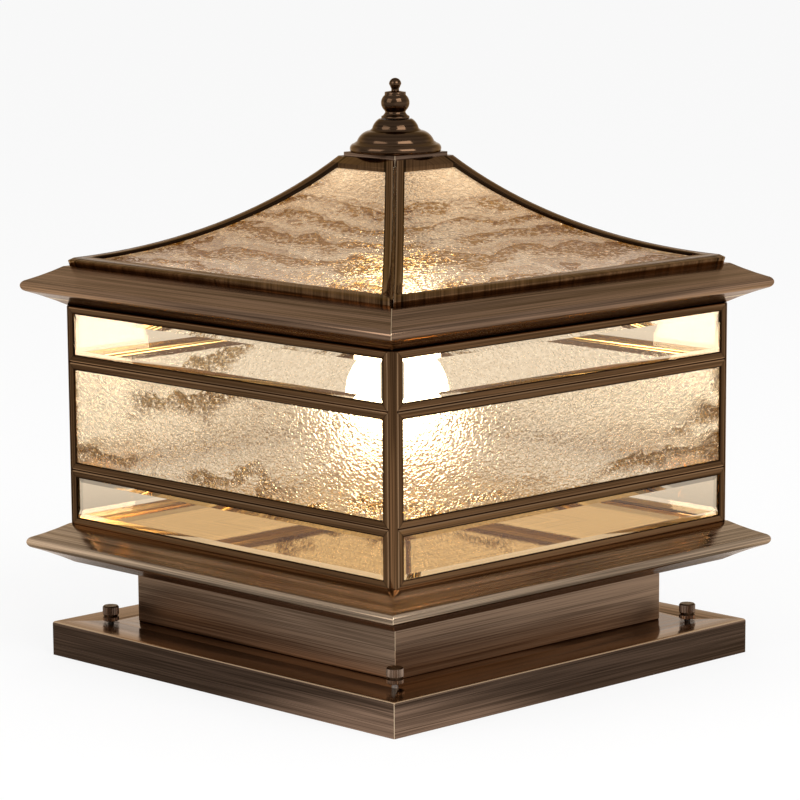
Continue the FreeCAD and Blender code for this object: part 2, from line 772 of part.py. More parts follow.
# Crown: a square plate on the heads of the roof frames, with a spreading skirt inside them
def crown_plate():
    body = new_body("crown_plate")
    inset = "roof_frame_thickness + crown_clearance"
    foot = new_sketch(body, "Foot", "XY_Plane", "crown_skirt_level")
    draw_outline(foot, square(roof_side("crown_skirt_level", inset)))
    head = new_sketch(body, "Head", "XY_Plane", "crown_level")
    draw_outline(head, square(roof_side("crown_level", inset)))
    skirt = body.newObject("PartDesign::AdditiveLoft", "Skirt")
    skirt.Profile = foot
    skirt.Sections = [head]
    skirt.Ruled = True
    plate = draw_outline(new_sketch(body, "Plate", "XY_Plane", "crown_level"), square("crown_side/2"))
    pad(body, plate, "crown_plate_thickness")
    cut(body, draw_circle(new_sketch(body, "RodHole", "XY_Plane"), "rod_radius + rod_clearance"))


# Centre rod: a hollow threaded pipe from the lampholder up into the finial
def centre_rod():
    turned_piece("centre_rod", rectangle("rod_radius - rod_wall", "rod_foot", "rod_radius", "rod_tip"))


# Bell: a spun cap with a rolled rim, a round shoulder and a smaller dome
def bell_cap():
    base = "crown_top"
    bore = "rod_radius + rod_clearance"
    turned_piece("bell_cap", [
        (bore, base),
        ("bell_radius - bell_foot_inset", base, "bell_rim_round"),
        ("bell_rim_top_radius", f"{base} + bell_rim_height"),
        ("bell_dome_radius", f"{base} + bell_dome_height", "bell_dome_round"),
        ("bell_dome_top_radius", f"{base} + bell_dome_top_height"),
        ("bell_cap_radius", f"{base} + bell_cap_height", "bell_cap_round"),
        ("bell_cap_top_radius", "bell_top"),
        (bore, "bell_top"),
    ])


# Finial: a turned flange, waist, vase, disc and ball on a blind bore
def finial():
    base = "finial_base"
    bore = "rod_radius + rod_clearance"
    ball_centre = f"{base} + finial_height - finial_ball_radius"
    ball_meet = f"{ball_centre} - sqrt(finial_ball_radius^2 - finial_neck_radius^2)"
    turned_piece("finial", [
        (bore, base),
        ("finial_flange_radius", base),
        ("finial_flange_radius", f"{base} + finial_flange_height", "-finial_waist_round"),
        ("finial_waist_radius", f"{base} + finial_waist_height"),
        ("finial_ring_radius", f"{base} + finial_ring_height", "finial_vase_round"),
        ("finial_vase_top_radius", f"{base} + finial_vase_top_height"),
        ("finial_disc_radius", f"{base} + finial_disc_base"),
        ("finial_disc_radius", f"{base} + finial_disc_top"),
        ("finial_neck_radius", f"{base} + finial_neck_base"),
        ("finial_neck_radius", ball_meet),
        ("finial_ball_radius", ball_centre, "finial_ball_radius"),
        ("0", f"{base} + finial_height"),
        ("0", f"{base} + finial_bore_depth"),
        (bore, f"{base} + finial_bore_depth"),
    ])


# Lampholder: a round ceramic body with a shoulder, bored for the rod above and for the bulb below
def lampholder():
    thread = "bulb_cap_radius + holder_thread_clearance"
    bore_top = "holder_foot + holder_bore_depth"
    shoulder = "holder_top - holder_shoulder_height"
    turned_piece("lampholder", [
        (thread, "holder_foot"),
        ("holder_radius", "holder_foot"),
        ("holder_radius", shoulder),
        ("holder_shoulder_radius", "holder_top"),
        ("rod_radius + rod_clearance", "holder_top"),
        ("rod_radius + rod_clearance", "rod_foot"),
        ("0", "rod_foot"),
        ("0", bore_top),
        (thread, bore_top),
    ])


# Bulb cap: a cup with a contact tip, over the neck of the glass
def bulb_cap():
    inner = "bulb_neck_radius + bulb_seat_clearance"
    turned_piece("bulb_cap", [
        (inner, "bulb_cap_foot"),
        ("bulb_cap_radius", "bulb_cap_foot"),
        ("bulb_cap_radius", "bulb_cap_top - bulb_cap_chamfer"),
        ("bulb_cap_radius - bulb_cap_chamfer", "bulb_cap_top"),
        ("bulb_tip_radius", "bulb_cap_top"),
        ("bulb_tip_radius - bulb_tip_length/2", "bulb_tip"),
        ("0", "bulb_tip"),
        ("0", "bulb_cap_foot + bulb_seat_depth"),
        (inner, "bulb_cap_foot + bulb_seat_depth"),
    ])


# Bulb globe: a round envelope drawn in to a neck by a hollow curve
def bulb_globe():
    tangent_angle = "asin((bulb_neck_radius + bulb_neck_sweep_radius)/(bulb_radius + bulb_neck_sweep_radius))"
    across = f"bulb_radius*sin({tangent_angle})"
    meet = f"bulb_centre + bulb_radius*cos({tangent_angle})"
    sweep_rise = f"bulb_centre + (bulb_radius + bulb_neck_sweep_radius)*cos({tangent_angle})"
    seat = "bulb_cap_foot + bulb_seat_depth - bulb_seat_clearance"
    turned_piece("bulb_globe", [
        ("0", "bulb_bottom", "bulb_radius"),
        ("bulb_radius", "bulb_centre", "bulb_radius"),
        (across, meet, "-bulb_neck_sweep_radius"),
        ("bulb_neck_radius", sweep_rise),
        ("bulb_neck_radius", seat),
        ("0", seat),
    ])


mounting_plate()
mounting_studs()
cable_grommet()
terminal_block()
base_pan()
NUTS = (
    ("1", "-1", "front_nut_lift"),
    ("1", "1", "nut_lift"),
    ("-1", "1", "nut_lift"),
    ("-1", "-1", "nut_lift"),
)
for number, (across, up, lift) in enumerate(NUTS, start=1):
    thumb_nut(number, f"{across}*(stud_place)", f"{up}*(stud_place)", lift)
neck_box()
eave("lower_eave", "neck_top", "neck_side/2 - neck_flange", "face - lower_ledge_width")
floor_plate()
for turns, corner in enumerate(CORNERS):
    corner_post(f"corner_post_{corner}", turns)
TIERS = (
    ("lower", "floor_level", "lower_joint", True),
    ("middle", "lower_joint", "upper_joint", False),
    ("upper", "upper_joint", "body_top", True),
)
for tier, bottom, top, bevelled in TIERS:
    for turns, side in enumerate(SIDES):
        side_frame(f"{tier}_frame_{side}", turns, bottom, top)
        side_pane(f"{tier}_pane_{side}", turns, bottom, top, bevelled)
eave("upper_eave", "body_top", "face - upper_soffit_setback", "face - upper_ledge_width", "locating_lip_drop")
for turns, side in enumerate(SIDES):
    roof_frame(f"roof_frame_{side}", turns)
    roof_pane(f"roof_pane_{side}", turns)
for turns, corner in enumerate(CORNERS):
    hip_rib(f"hip_rib_{corner}", turns)
crown_plate()
centre_rod()
bell_cap()
finial()
lampholder()
bulb_cap()
bulb_globe()

document.recompute()

# Every feature built, and every piece is a closed solid
for item in document.Objects:
    if "Invalid" in item.State or "Error" in item.State:
        raise RuntimeError(f"{item.Label} failed: {item.State}")
    if item.TypeId == "PartDesign::Pocket" and item.Shape.Volume >= item.BaseFeature.Shape.Volume:
        raise RuntimeError(f"{item.Label} cut nothing")
os.makedirs("parts", exist_ok=True)
for piece in pieces:
    if piece.Shape.isNull() or not piece.Shape.isValid() or not piece.Shape.Solids:
        raise RuntimeError(f"{piece.Label} has no valid solid")
    piece.Shape.exportStep(f"parts/{piece.Label}.step")
print(len(pieces), "pieces")
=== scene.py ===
# %% [markdown]
# # A square pillar lantern in antique bronze and glass
#
# The lantern stands on a pillar: a folded pan and neck carry three tiers of framed glass between two
# moulded eaves, under a swept glass roof with a turned finial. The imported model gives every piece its
# real size and place. This script gives the pieces their finish, their small edges and their light.

# %% The fixed frame
import math

import bmesh
import bpy
from mathutils import Matrix, Vector
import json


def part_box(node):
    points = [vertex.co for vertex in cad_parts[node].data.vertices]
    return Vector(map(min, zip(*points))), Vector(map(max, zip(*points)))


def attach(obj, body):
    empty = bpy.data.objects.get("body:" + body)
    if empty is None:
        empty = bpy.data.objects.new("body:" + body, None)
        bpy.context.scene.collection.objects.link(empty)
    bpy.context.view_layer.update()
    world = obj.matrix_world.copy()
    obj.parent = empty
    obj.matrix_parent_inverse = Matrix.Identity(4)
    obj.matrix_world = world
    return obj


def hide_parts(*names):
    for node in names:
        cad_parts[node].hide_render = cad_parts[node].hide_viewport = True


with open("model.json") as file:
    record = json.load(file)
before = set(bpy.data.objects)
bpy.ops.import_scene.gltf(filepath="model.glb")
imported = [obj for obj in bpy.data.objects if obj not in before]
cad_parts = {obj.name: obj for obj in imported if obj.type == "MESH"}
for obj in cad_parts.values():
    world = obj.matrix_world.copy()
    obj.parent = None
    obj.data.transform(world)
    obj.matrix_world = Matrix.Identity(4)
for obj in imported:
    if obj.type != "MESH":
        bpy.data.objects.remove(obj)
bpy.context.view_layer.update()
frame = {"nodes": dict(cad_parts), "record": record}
nodes = frame["nodes"]
SIDES = ("front", "right", "back", "left")
TIERS = ("lower", "middle", "upper")
MM = 0.001
MICRON = 0.000001

# %% [markdown]
# ## Camera
#
# The photograph was taken with a long lens, a little above the lantern and almost square to one corner.
# Its straight edges were fitted to the lantern's own corners, which gives the distance, the height and
# the lens. The lens is shifted upwards, as a view camera's is, so that uprights stay nearly upright.

# %% The camera that the photograph's edges give
# Lengths are in metres, apart from the sensor's width, which Blender takes in millimetres.
camera_distance = 2.36719
camera_elevation = math.radians(10.66)
camera_heading = math.radians(-44.25)
camera_roll = math.radians(-0.38)
aim_height = 0.10174
aim_right = 0.00133
picture_side_pixels = 800
focal_pixels = 3654.0
axis_below_centre_pixels = 100
sensor_width = 36.0
nearest_seen = 0.1
farthest_seen = 200.0

toward = Vector((math.cos(camera_heading), math.sin(camera_heading), 0))
rightward = Vector((-toward.y, toward.x, 0))
camera_data = bpy.data.cameras.new("photo_camera")
camera = bpy.data.objects.new("photo_camera", camera_data)
bpy.context.scene.collection.objects.link(camera)
aim = rightward*aim_right + Vector((0, 0, aim_height))
back = toward*math.cos(camera_elevation) + Vector((0, 0, math.sin(camera_elevation)))
camera.location = aim + back*camera_distance
facing = back.to_track_quat("Z", "Y").to_matrix().to_4x4()
camera.matrix_world = Matrix.Translation(camera.location) @ facing @ Matrix.Rotation(camera_roll, 4, "Z")
camera_data.sensor_width = sensor_width
camera_data.lens = sensor_width*focal_pixels/picture_side_pixels
camera_data.shift_y = axis_below_centre_pixels/picture_side_pixels
camera_data.clip_start = nearest_seen
camera_data.clip_end = farthest_seen
bpy.context.scene.camera = camera
print("camera at", tuple(round(v, 3) for v in camera.location), "lens", round(camera_data.lens, 1))


# %% [markdown]
# ## Floor, background and lamps
#
# A product photograph on white has bright paper behind and under the piece. Here the paper is white to the
# camera by its own light, so that the lamps can stay gentle, and a part of its brightness still comes from
# the lamps, which is what keeps the lantern's soft shadow on it. Polished metal is mostly a picture of the
# room, so mirrors and glass see that room as well: the same white paper behind the lantern, and beside it
# the quieter walls of a studio, darker on the left than on the right.

# %% Nodes and their inputs
def link(tree, source, target):
    """Joins an output to an input."""
    tree.links.new(source, target)


def feed(tree, item, socket):
    """Sets a socket to a number or colour, or links another socket to it."""
    if isinstance(item, (int, float)):
        socket.default_value = item
    elif isinstance(item, tuple):
        socket.default_value = (*item, 1)
    else:
        link(tree, item, socket)


def fed_node(tree, kind, inputs, **settings):
    """A node with some properties set, and some inputs fed by their names or numbers."""
    node = tree.nodes.new(kind)
    for name, setting in settings.items():
        setattr(node, name, setting)
    for place, item in inputs.items():
        feed(tree, item, node.inputs[place])
    return node


print("nodes can be made and fed")


# %% Sums, soft steps and mixes
def math_node(tree, operation, *items, clamp=False):
    """A Math node. Its inputs are numbers or sockets."""
    inputs = dict(enumerate(items))
    return fed_node(tree, "ShaderNodeMath", inputs, operation=operation, use_clamp=clamp).outputs[0]


def ramp(tree, source, start, end, low=0.0, high=1.0):
    """A soft step from low to high while the source goes from start to end."""
    inputs = {"Value": source, "From Min": start, "From Max": end, "To Min": low, "To Max": high}
    return fed_node(tree, "ShaderNodeMapRange", inputs, interpolation_type="SMOOTHSTEP").outputs["Result"]


def between(tree, share, first, second):
    """A value between two values."""
    return fed_node(tree, "ShaderNodeMix", {0: share, 2: first, 3: second}, data_type="FLOAT").outputs[0]


def blended(tree, share, first, second):
    """A colour between two colours."""
    return fed_node(tree, "ShaderNodeMix", {0: share, 6: first, 7: second}, data_type="RGBA").outputs[2]


def dot_with(tree, vector, direction):
    """How far a vector points along a fixed direction."""
    node = fed_node(tree, "ShaderNodeVectorMath", {0: vector}, operation="DOT_PRODUCT")
    node.inputs[1].default_value = direction
    return node.outputs["Value"]


def object_place(tree):
    """A point's place on its object."""
    return tree.nodes.new("ShaderNodeTexCoord").outputs["Object"]


print("sums, soft steps and mixes can be made")


# %% How bright the studio looks in each direction
def new_group(name, inputs, outputs):
    """A shader node group with named sockets, its input node and its output node."""
    group = bpy.data.node_groups.new(name, "ShaderNodeTree")
    for label, kind, default in inputs:
        socket = group.interface.new_socket(label, in_out="INPUT", socket_type=kind)
        if default is not None:
            socket.default_value = default
    for label in outputs:
        group.interface.new_socket(label, in_out="OUTPUT", socket_type="NodeSocketFloat")
    return group, group.nodes.new("NodeGroupInput"), group.nodes.new("NodeGroupOutput")


left_wall = 0.34
right_wall = 0.58
ceiling = 0.50
backdrop = 1.0
left_to_right = -0.4, 0.4
wall_to_backdrop = 0.12, 0.45
wall_to_ceiling = 0.20, 0.55
room_group, room_in, room_out = new_group("studio_room", [("Direction", "NodeSocketVector", None)], ["Level"])
room_direction = room_in.outputs["Direction"]
aside = dot_with(room_group, room_direction, rightward)
behind = dot_with(room_group, room_direction, -toward)
upward = dot_with(room_group, room_direction, (0, 0, 1))
walls = ramp(room_group, aside, *left_to_right, left_wall, right_wall)
walls_and_backdrop = ramp(room_group, behind, *wall_to_backdrop, walls, backdrop)
room = ramp(room_group, upward, *wall_to_ceiling, walls_and_backdrop, ceiling)
link(room_group, room, room_out.inputs["Level"])


def room_level(tree, direction):
    """The studio's brightness in a direction."""
    node = fed_node(tree, "ShaderNodeGroup", {}, node_tree=room_group)
    link(tree, direction, node.inputs["Direction"])
    return node.outputs["Level"]


print("studio walls", left_wall, right_wall, "ceiling", ceiling)


# %% A world that is white to the camera
def is_any(tree, *names):
    """1 for rays of one of these kinds."""
    path = tree.nodes.new("ShaderNodeLightPath")
    seen = path.outputs[names[0]]
    for name in names[1:]:
        seen = math_node(tree, "MAXIMUM", seen, path.outputs[name])
    return seen


paper_white = (1.0, 1.0, 1.0)
paper_behind_glass = (1.0, 0.89, 0.72)


def paper_colour(tree):
    """White, but the warmer white of lamplit paper where glass shows it."""
    return blended(tree, is_any(tree, "Is Transmission Ray"), paper_white, paper_behind_glass)


world_light = 0.75
brightest_through_glass = 0.98
dimmest_through_glass = 0.25
beside_to_straight_on = 0.78, 0.97
world = bpy.data.worlds.new("studio")
bpy.context.scene.world = world
world.use_nodes = True
world_tree = world.node_tree
world_tree.nodes.clear()
sight = world_tree.nodes.new("ShaderNodeTexCoord").outputs["Generated"]
mirrored = is_any(world_tree, "Is Glossy Ray")
level = between(world_tree, mirrored, world_light, room_level(world_tree, sight))
straight_on = dot_with(world_tree, sight, -back)
through_glass = ramp(
    world_tree, straight_on, *beside_to_straight_on, dimmest_through_glass, brightest_through_glass,
)
level = between(world_tree, is_any(world_tree, "Is Transmission Ray"), level, through_glass)
level = between(world_tree, is_any(world_tree, "Is Camera Ray"), level, 1.0)
background = fed_node(world_tree, "ShaderNodeBackground", {
    "Color": paper_colour(world_tree), "Strength": level,
})
fed_node(world_tree, "ShaderNodeOutputWorld", {"Surface": background.outputs[0]})
print("world light", world_light)


# %% How bright the paper looks to the camera, in mirrors and through glass
def new_material(name):
    """A material with an empty tree, and its output node."""
    material = bpy.data.materials.new(name)
    material.use_nodes = True
    material.node_tree.nodes.clear()
    output = material.node_tree.nodes.new("ShaderNodeOutputMaterial")
    return material, material.node_tree, output


# In mirrors the paper is dim close to the pan, but for a bright strip through the middle. Through glass it is
# bright only far behind the lantern. Distances are in metres.
pan_to_open_paper = 0.25, 0.32
pan_and_open_level = 0.30, 1.2
strip_half_width = 0.03, 0.12
near_to_far = 0.3, 0.8
beside_to_behind = 0.6, 0.95
paper, paper_tree, paper_output = new_material("white_paper")
paper_place = object_place(paper_tree)
paper_axes = fed_node(paper_tree, "ShaderNodeSeparateXYZ", {0: paper_place})
paper_x = math_node(paper_tree, "ABSOLUTE", paper_axes.outputs["X"])
paper_y = math_node(paper_tree, "ABSOLUTE", paper_axes.outputs["Y"])
out_from_pan = math_node(paper_tree, "MAXIMUM", paper_x, paper_y)
near_the_lantern = ramp(paper_tree, out_from_pan, *pan_to_open_paper, *pan_and_open_level)
normalized = fed_node(paper_tree, "ShaderNodeVectorMath", {0: paper_place}, operation="NORMALIZE")
paper_heading = normalized.outputs[0]
table = math_node(paper_tree, "MULTIPLY", room_level(paper_tree, paper_heading), near_the_lantern)
sideways = math_node(paper_tree, "ABSOLUTE", dot_with(paper_tree, paper_place, rightward))
in_mirrors = ramp(paper_tree, sideways, *strip_half_width, 1.0, table)
far_off = fed_node(paper_tree, "ShaderNodeVectorMath", {0: paper_place}, operation="LENGTH")
far_paper = ramp(
    paper_tree, far_off.outputs["Value"], *near_to_far, dimmest_through_glass, brightest_through_glass,
)
straight_behind = dot_with(paper_tree, paper_heading, -toward)
in_glass = ramp(paper_tree, straight_behind, *beside_to_behind, dimmest_through_glass, far_paper)
glow = between(paper_tree, is_any(paper_tree, "Is Transmission Ray"), in_mirrors, in_glass)
glow = between(paper_tree, is_any(paper_tree, "Is Camera Ray"), glow, 1.0)
print("paper tree with", len(paper_tree.nodes), "nodes")

# %% The paper floor
glow_share = 0.8
paper_tone = (0.92, 0.92, 0.92)
floor_reach = 40.0
paper_glow = fed_node(paper_tree, "ShaderNodeEmission", {"Color": paper_colour(paper_tree), "Strength": glow})
paper_diffuse = fed_node(paper_tree, "ShaderNodeBsdfDiffuse", {"Color": paper_tone})
seen_rays = is_any(paper_tree, "Is Camera Ray", "Is Glossy Ray", "Is Transmission Ray")
paper_mix = fed_node(paper_tree, "ShaderNodeMixShader", {
    "Fac": math_node(paper_tree, "MULTIPLY", seen_rays, glow_share),
    1: paper_diffuse.outputs[0],
    2: paper_glow.outputs[0],
})
link(paper_tree, paper_mix.outputs[0], paper_output.inputs["Surface"])
floor_mesh = bpy.data.meshes.new("paper_floor")
floor_corners = [(-1, -1), (1, -1), (1, 1), (-1, 1)]
floor_mesh.from_pydata([(x*floor_reach, y*floor_reach, 0) for x, y in floor_corners], [], [(0, 1, 2, 3)])
floor_mesh.materials.append(paper)
floor = bpy.data.objects.new("paper_floor", floor_mesh)
bpy.context.scene.collection.objects.link(floor)
print("paper floor", floor_reach*2, "m wide")


# %% Two soft boxes
lamp_aim = Vector((0, 0, 180*MM))


def soft_box(name, heading, elevation, distance, width, watts):
    """A square area lamp that faces the middle of the lantern. Its heading and elevation are in degrees."""
    data = bpy.data.lights.new(name, "AREA")
    data.shape = "SQUARE"
    data.size = width
    data.energy = watts
    lamp = bpy.data.objects.new(name, data)
    bpy.context.scene.collection.objects.link(lamp)
    turn, tilt = math.radians(heading), math.radians(elevation)
    out = Vector((math.cos(turn)*math.cos(tilt), math.sin(turn)*math.cos(tilt), math.sin(tilt)))
    stand = Matrix.Translation(out*distance + lamp_aim)
    lamp.matrix_world = stand @ out.to_track_quat("Z", "Y").to_matrix().to_4x4()


soft_box("key_box", heading=-10, elevation=38, distance=2.6, width=1.6, watts=34)
soft_box("fill_box", heading=-100, elevation=30, distance=2.8, width=1.8, watts=20)
print("two soft boxes")

# %% [markdown]
# ## Brushed grain
#
# Sheet brass is brushed before it is darkened, so fine lines run along every bar and fold of the lantern.
# One node group makes them for every metal here: noise that is stretched along one direction. It puts out
# a height for the bump, a streak mask for the colour and a stain mask for the gloss. Painting the lines by
# hand would not follow the folds, and a picture of brushed metal would repeat.


# %% The grain group
def noise_of(tree, place, scale, detail=2.0, distortion=0.0):
    """The value of a noise texture at a place."""
    inputs = {"Vector": place, "Scale": scale, "Detail": detail, "Distortion": distortion}
    return fed_node(tree, "ShaderNodeTexNoise", inputs).outputs["Fac"]


line_scale, line_detail, line_share = 1.0, 3.0, 0.6
band_scale, band_share = 0.17, 0.4
streak_range = 0.36, 0.64
stain_range = 0.30, 0.70
grain_group, grain_in, grain_out = new_group(
    "brushed_grain", [("Place", "NodeSocketVector", None)], ["Height", "Streak", "Stain"],
)
lines = noise_of(grain_group, grain_in.outputs["Place"], line_scale, line_detail)
bands = noise_of(grain_group, grain_in.outputs["Place"], band_scale)
banded = math_node(grain_group, "MULTIPLY", bands, band_share)
streak = math_node(grain_group, "ADD", math_node(grain_group, "MULTIPLY", lines, line_share), banded)
link(grain_group, lines, grain_out.inputs["Height"])
link(grain_group, ramp(grain_group, streak, *streak_range), grain_out.inputs["Streak"])
link(grain_group, ramp(grain_group, bands, *stain_range), grain_out.inputs["Stain"])
print("grain group with", len(grain_group.nodes), "nodes")

# %% [markdown]
# ## Which way the grain runs
#
# Every piece is folded or framed round the square body, so a point's place alone tells which bar it is on.
# The larger of |x| and |y| says whether it lies on a front or back side or on a left or right one. On a
# frame, the nearer edge says whether it is on an upright or on a rail. Where two bars meet there is a mitre:
# a painted highlight along it on the folded pieces, and a dark joint on the frames. Each bar also has a
# painted highlight by its outer edge and painted shade in the corner beside the glass, so a bar has a light
# line and a dark one.


# %% Places along and across the grain
def place_axes(tree):
    """The x, y and z of a point's place in the lantern."""
    split = fed_node(tree, "ShaderNodeSeparateXYZ", {0: object_place(tree)})
    return split.outputs["X"], split.outputs["Y"], split.outputs["Z"]


def side_axes(tree):
    """A point's place along its side of the square, outward from the axis, and up."""
    x, y, z = place_axes(tree)
    on_right = math_node(
        tree, "GREATER_THAN", math_node(tree, "ABSOLUTE", x), math_node(tree, "ABSOLUTE", y),
    )
    return between(tree, on_right, x, y), between(tree, on_right, y, x), z


def stretched(tree, *pairs):
    """A place whose axes are each multiplied by a scale."""
    axes = [math_node(tree, "MULTIPLY", axis, scale) for axis, scale in pairs]
    return fed_node(tree, "ShaderNodeCombineXYZ", dict(enumerate(axes))).outputs[0]


def off_mitre(tree, along, outward):
    """How far a point is from the diagonal of the square, measured along its side."""
    outward_size = math_node(tree, "ABSOLUTE", outward)
    return math_node(tree, "SUBTRACT", outward_size, math_node(tree, "ABSOLUTE", along))


print("places can be read and stretched")

# %% Lines on bars and mitres
mitre_line = 0.22*MM
mitre_fade = 0.5*mitre_line, 1.5*mitre_line
# A painted highlight line near each bar's outer edge.
highlight_line = 0.7*MM
highlight_fade = 0.25*MM, 0.5*MM
# Painted shade by a bar's inner edge, in the corner beside the glass.
bar_shade_near = 0.5*MM
bar_shade_far = 1.0*MM


def off_line(tree, position, line):
    """The distance between a position and a line."""
    return math_node(tree, "ABSOLUTE", math_node(tree, "SUBTRACT", position, line))


def hairline(tree, distance):
    """1 on a line and 0 off it, from the distance to it."""
    return ramp(tree, math_node(tree, "ABSOLUTE", distance), *mitre_fade, 1.0, 0.0)


def bar_lines(tree, from_edge, width):
    """A painted highlight by a bar's outer edge and painted shade by its inner edge, from the distance to the
    outer.
    """
    highlight_mask = ramp(tree, off_line(tree, from_edge, highlight_line), *highlight_fade, 1.0, 0.0)
    inner = ramp(tree, from_edge, width - bar_shade_far, width - bar_shade_near)
    beyond = ramp(tree, from_edge, width + bar_shade_near, width + bar_shade_far, 1.0, 0.0)
    return highlight_mask, math_node(tree, "MULTIPLY", inner, beyond)


print("mitre", mitre_line, "m wide")

# %% Grain on the folded pieces and the roof
ACROSS = 1400.0
ALONG = 9.0
hip_groove = 2.2*MM
hip_bar = 5.0*MM
line_fade_shares = 0.3, 0.6


def along_folds(tree):
    """Grain along each side of the square, and the mitres on its diagonals."""
    along, outward, up = side_axes(tree)
    grain = stretched(tree, (along, ALONG), (outward, ACROSS), (up, ACROSS))
    return grain, hairline(tree, off_mitre(tree, along, outward)), None


def along_folds_with_line(level, thickness):
    """The same, with one painted highlight line all round at a height."""
    def place(tree):
        grain, seam, _ = along_folds(tree)
        fade = (thickness*share for share in line_fade_shares)
        highlight_mask = ramp(tree, off_line(tree, side_axes(tree)[2], level), *fade, 1.0, 0.0)
        return grain, seam, (highlight_mask, None)
    return place


def along_hips(tree):
    """Grain along the roof's slopes, with the painted highlight and painted shade lines of the bars up the
    hips.
    """
    along, outward, up = side_axes(tree)
    from_hip = math_node(tree, "MULTIPLY", off_mitre(tree, along, outward), math.sqrt(0.5))
    from_groove = math_node(tree, "SUBTRACT", from_hip, hip_groove/2)
    return stretched(tree, (from_hip, ACROSS), (up, ALONG)), None, bar_lines(tree, from_groove, hip_bar)


print("grain", round(ACROSS/ALONG), "times longer than wide")

# %% Grain on the frames, the uprights and the turned pieces
frame_edge = 147.25*MM
frame_bar = 4.9*MM


def along_frame(bottom, top):
    """Grain along the four bars of a side frame between two heights, and its mitres."""
    def place(tree):
        along, outward, up = side_axes(tree)
        from_side = math_node(tree, "SUBTRACT", frame_edge, math_node(tree, "ABSOLUTE", along))
        from_bottom = math_node(tree, "SUBTRACT", up, bottom)
        from_rail = math_node(tree, "MINIMUM", from_bottom, math_node(tree, "SUBTRACT", top, up))
        upright = math_node(tree, "GREATER_THAN", from_rail, from_side)
        sideways_scale = between(tree, upright, ALONG, ACROSS)
        upward_scale = between(tree, upright, ACROSS, ALONG)
        grain = stretched(tree, (along, sideways_scale), (outward, ACROSS), (up, upward_scale))
        from_edge = math_node(tree, "MINIMUM", from_side, from_rail)
        seam = hairline(tree, math_node(tree, "SUBTRACT", from_side, from_rail))
        return grain, seam, bar_lines(tree, from_edge, frame_bar)
    return place


def along_uprights(tree):
    """Grain up and down."""
    x, y, z = place_axes(tree)
    return stretched(tree, (x, ACROSS), (y, ACROSS), (z, ALONG)), None, None


def round_the_axis(tree):
    """Grain round the upright axis, by radius and height alone."""
    x, y, z = place_axes(tree)
    squares = math_node(tree, "ADD", math_node(tree, "MULTIPLY", x, x), math_node(tree, "MULTIPLY", y, y))
    return stretched(tree, (math_node(tree, "SQRT", squares), ACROSS), (z, ACROSS)), None, None


print("grain directions: folds, hips, frames, uprights and round the axis")

# %% [markdown]
# ## Antique brass, bare brass and steel
#
# The lantern is brass, darkened to a warm brown and lacquered, so it is a soft mirror: metallic, with little
# roughness. Its brown comes from the base colour, which the streaks move between a dark and a light tone.
# Inside, where nobody darkens it, the brass stays bare and shines yellow in the bulb's light.

# %% A brushed metal
# The colour and strength of the painted shade in the corner beside the glass.
painted_shade_colour = (0.015, 0.008, 0.004)
painted_shade_share = 0.9
brown_edge = (0.75, 0.62, 0.50)
# The colour of the painted highlight along the bars' outer edges, and how strongly it shows.
painted_highlight_bronze = (0.50, 0.31, 0.17)
usual_highlight_share = 0.55
stain_gloss = 0.8, 1.3


def bumped(tree, height, relief):
    """A normal that is bent by a height, whose full range is the relief in metres."""
    return fed_node(tree, "ShaderNodeBump", {"Distance": relief, "Height": height}).outputs["Normal"]


def metal(
    name, grain_place, tones, roughness, relief, seam_colour=None,
    edge_tint=brown_edge, highlight_colour=painted_highlight_bronze, highlight_share=usual_highlight_share,
):
    """A brushed metal: its colour runs between two tones with the grain, which also moves its gloss."""
    material, tree, output = new_material(name)
    grain = fed_node(tree, "ShaderNodeGroup", {}, node_tree=grain_group)
    place, seam, bar = grain_place(tree)
    link(tree, place, grain.inputs["Place"])
    colour = blended(tree, grain.outputs["Streak"], *tones)
    # A bar's painted highlight and painted shade lines, then the mitre line: a painted highlight or a dark
    # joint.
    if bar is not None:
        highlight_mask, shade_mask = bar
        colour = blended(tree, math_node(tree, "MULTIPLY", highlight_mask, highlight_share), colour, highlight_colour)
        if shade_mask is not None:
            colour = blended(tree, math_node(tree, "MULTIPLY", shade_mask, painted_shade_share), colour, painted_shade_colour)
    if seam is not None and seam_colour is not None:
        colour = blended(tree, seam, colour, seam_colour)
    gloss = between(tree, grain.outputs["Stain"], *(roughness*share for share in stain_gloss))
    shader = fed_node(tree, "ShaderNodeBsdfPrincipled", {
        "Base Color": colour,
        "Metallic": 1.0,
        "Roughness": gloss,
        "Specular Tint": edge_tint,
        "Normal": bumped(tree, grain.outputs["Height"], relief),
    })
    link(tree, shader.outputs[0], output.inputs["Surface"])
    return material


print("a metal can be made from two tones, a grain, a roughness and a relief")

# %% The darkened bronzes
# Each metal is given its name, its grain, its two tones, its roughness and the relief of its grain.
# A painted highlight along the mitres of the folded pieces, in the colour of bare brass.
painted_seam_highlight = (0.80, 0.62, 0.42)
fold_tones = (0.12, 0.072, 0.043), (0.36, 0.222, 0.142)
pan_tones = (0.085, 0.052, 0.034), (0.27, 0.172, 0.118)
neck_tones = (0.17, 0.108, 0.070), (0.45, 0.300, 0.200)
# The lower eave takes lighter tones: painted lamplight from the lower panes that shine onto it.
lamplit_tones = (0.265, 0.188, 0.128), (0.64, 0.470, 0.325)
frame_tones = (0.070, 0.034, 0.014), (0.215, 0.113, 0.052)
turned_tones = (0.045, 0.025, 0.014), (0.12, 0.070, 0.040)
edge_line_width = 0.9*MM
